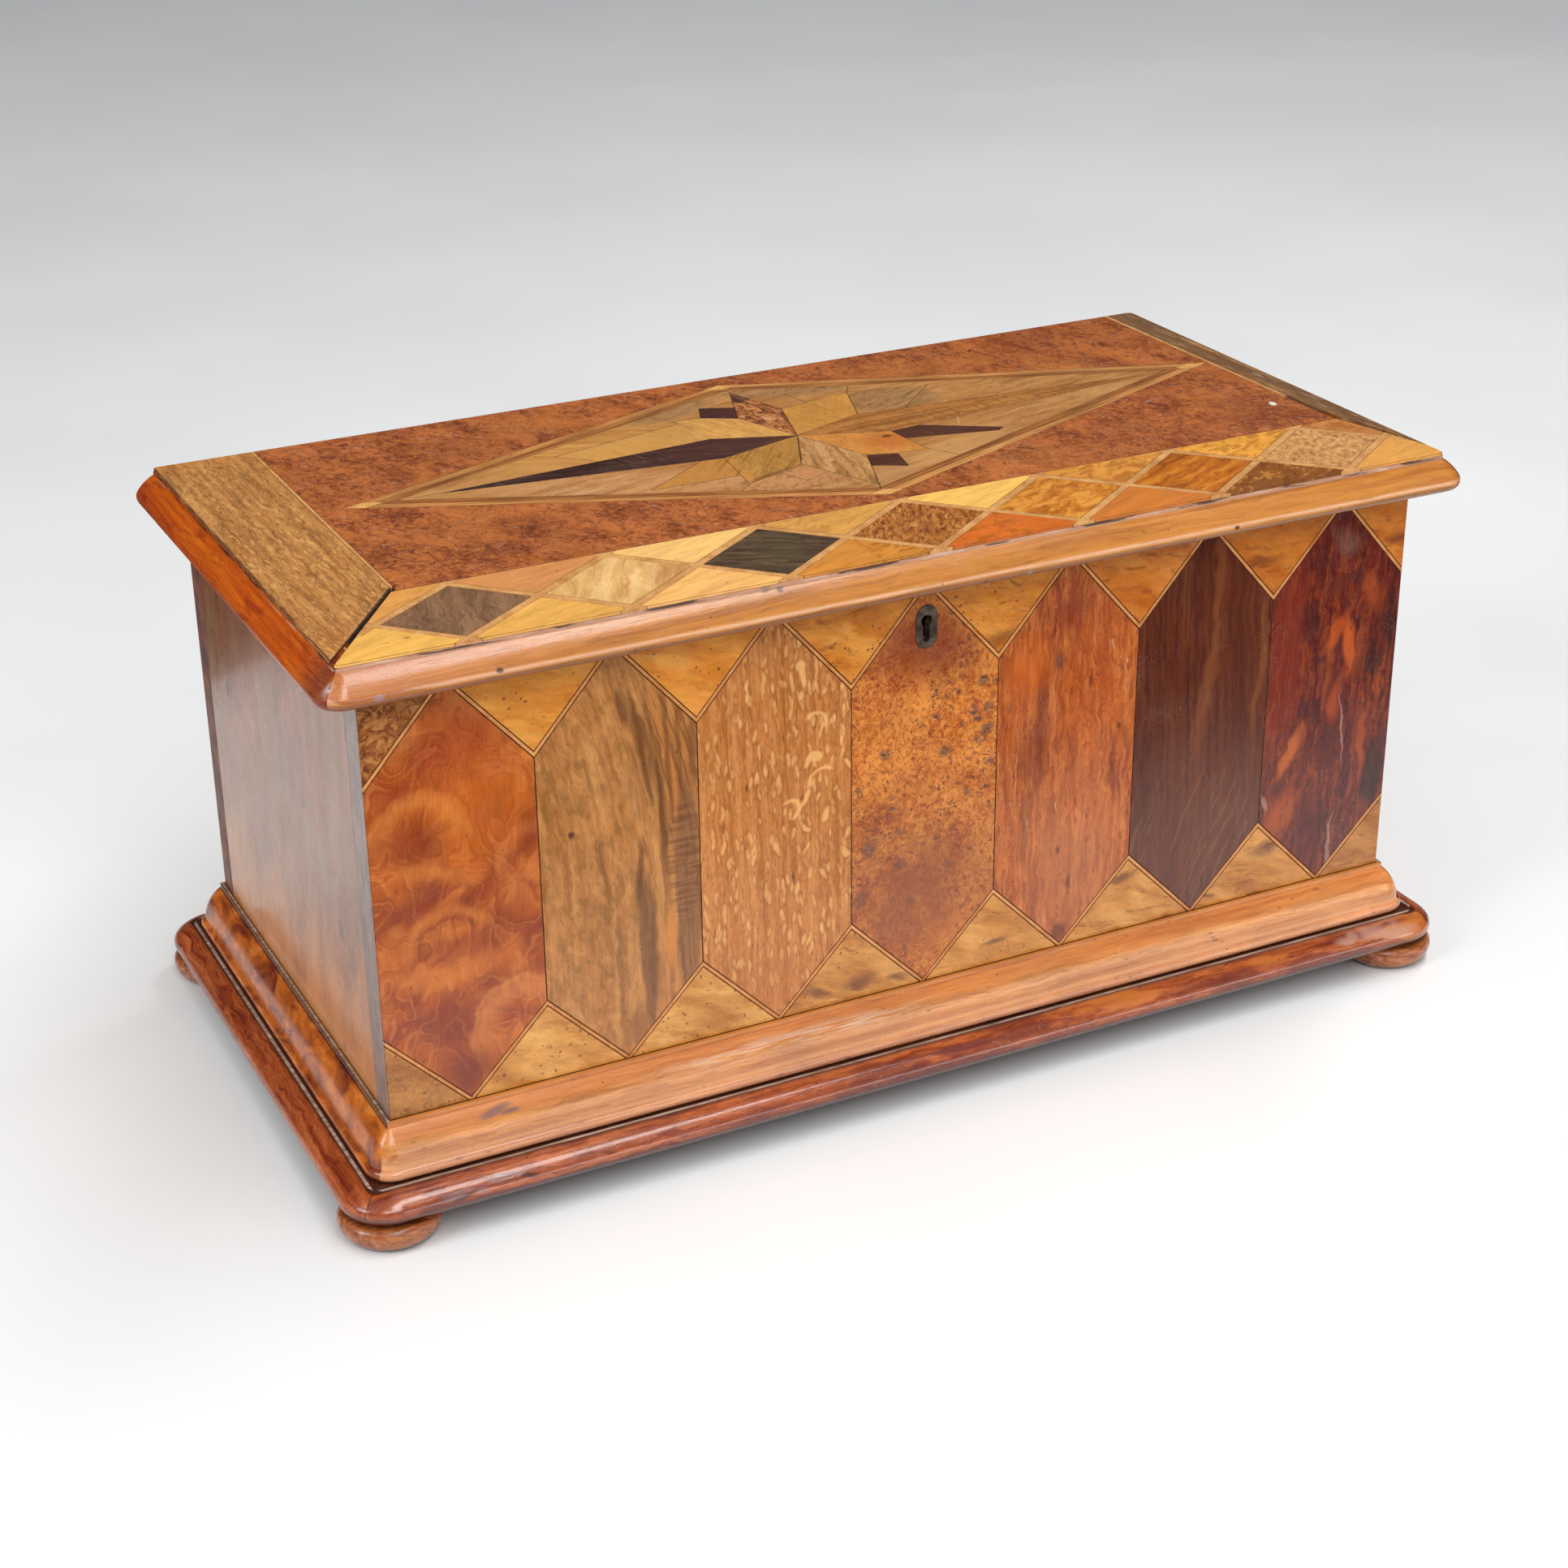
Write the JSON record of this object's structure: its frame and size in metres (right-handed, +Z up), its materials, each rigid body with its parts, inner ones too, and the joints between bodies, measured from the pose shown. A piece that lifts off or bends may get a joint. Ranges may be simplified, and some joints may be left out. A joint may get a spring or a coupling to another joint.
{
  "type": "jewelry box",
  "caption": "Rectangular veneered wooden box with a hinged moulded lid, parquetry front and lid, box lock and low bun feet.",
  "frame": {"origin": "on the surface that the box stands on, under the middle of its outline", "axes": "+X to the right along the front, +Y to the back, where the hinges are, +Z up"},
  "size_m": [0.4432, 0.2332, 0.2054],
  "materials": {
    "carcase_wood": "waxed mahogany with bruises and dull patches",
    "inner_wood": "unpolished",
    "golden_moulding": "old french polish, worn on the high edges",
    "red_moulding": "old french polish, dark patches",
    "plinth_wood": "old french polish, chipped nose",
    "foot_wood": "turned and polished, dark bottom ring",
    "mahogany": "figured veneer, polished",
    "walnut": "figured veneer, polished",
    "oak": "quartered veneer with light flecks, polished",
    "burr": "burr veneer with dark eyes, polished",
    "padauk": "streaky veneer, polished",
    "rosewood": "very dark veneer, polished",
    "kingwood": "veneer with dark streaks, polished",
    "satinwood": "golden veneer, polished",
    "stringing_wood": "pale line with dark edges",
    "oak_band": "quartered band, polished",
    "burl": "red-orange burl, polished",
    "tan_line": "polished",
    "brown_line": "polished",
    "golden_block": "polished",
    "dark_wood": "polished",
    "arm_wood": "polished",
    "ground_wood": "polished",
    "birdseye": "birdseye veneer, polished",
    "bog_oak": "polished",
    "palm": "speckled veneer, polished",
    "flame": "flame veneer, polished",
    "grey_walnut": "polished",
    "old_brass": "dark patina",
    "brass": "dull, slightly tarnished",
    "iron": "dull"
  },
  "bodies": {
    "carcase": {"front_board": "carcase_wood", "back_board": "carcase_wood", "left_end_board": "carcase_wood", "right_end_board": "carcase_wood", "bottom_board": "inner_wood", "ogee_moulding_front": "golden_moulding", "ogee_moulding_back": "golden_moulding", "ogee_moulding_left": "red_moulding", "ogee_moulding_right": "red_moulding", "plinth_front": "plinth_wood", "plinth_back": "plinth_wood", "plinth_left": "plinth_wood", "plinth_right": "plinth_wood", "bun_foot_front_left": "foot_wood", "bun_foot_front_right": "foot_wood", "bun_foot_back_left": "foot_wood", "bun_foot_back_right": "foot_wood", "hexagon_mahogany": "mahogany", "hexagon_walnut": "walnut", "hexagon_oak": "oak", "hexagon_burr": "burr", "hexagon_padauk": "padauk", "hexagon_rosewood": "rosewood", "hexagon_kingwood": "kingwood", "front_triangles": "satinwood", "front_stringing": "stringing_wood", "escutcheon": "old_brass", "lock_plate": "brass", "lock_case": "iron", "lock_spring": "iron", "carcase_screws": "brass", "hinge_carcase_leaves": "brass", "hinge_pins": "iron"},
    "lid": {"lid_board": "inner_wood", "lid_moulding_front": "golden_moulding", "lid_moulding_back": "golden_moulding", "lid_moulding_left": "red_moulding", "lid_moulding_right": "red_moulding", "lid_oak_band_left": "oak_band", "lid_oak_band_right": "oak_band", "lid_burr_fields": "burl", "rhombus_outer_lines": "tan_line", "rhombus_inner_lines": "brown_line", "rhombus_corner_blocks": "golden_block", "star_dark_pieces": "dark_wood", "star_brown_arms": "arm_wood", "star_golden_pieces": "satinwood", "star_ground": "ground_wood", "lozenge_walnut": "grey_walnut", "lozenges_birdseye": "birdseye", "lozenge_bog_oak": "bog_oak", "lozenge_palm": "palm", "lozenges_flame": "flame", "lozenge_triangles": "satinwood", "lid_stringing": "tan_line", "link_plate": "brass", "hinge_lid_leaves": "brass", "lid_screws": "brass"},
    "bolt": {"lock_bolt": "iron"}
  },
  "joints": [
    {"name": "lid_hinge", "type": "hinge", "parent": "carcase", "child": "lid", "pos_m": [0, 0.0965, 0.1913], "axis": [-1, 0, 0], "range_deg": [0, 95]},
    {"name": "lock_bolt_slide", "type": "slide", "parent": "carcase", "child": "bolt", "axis": [1, 0, 0], "range_m": [0, 0.0045]}
  ]
}
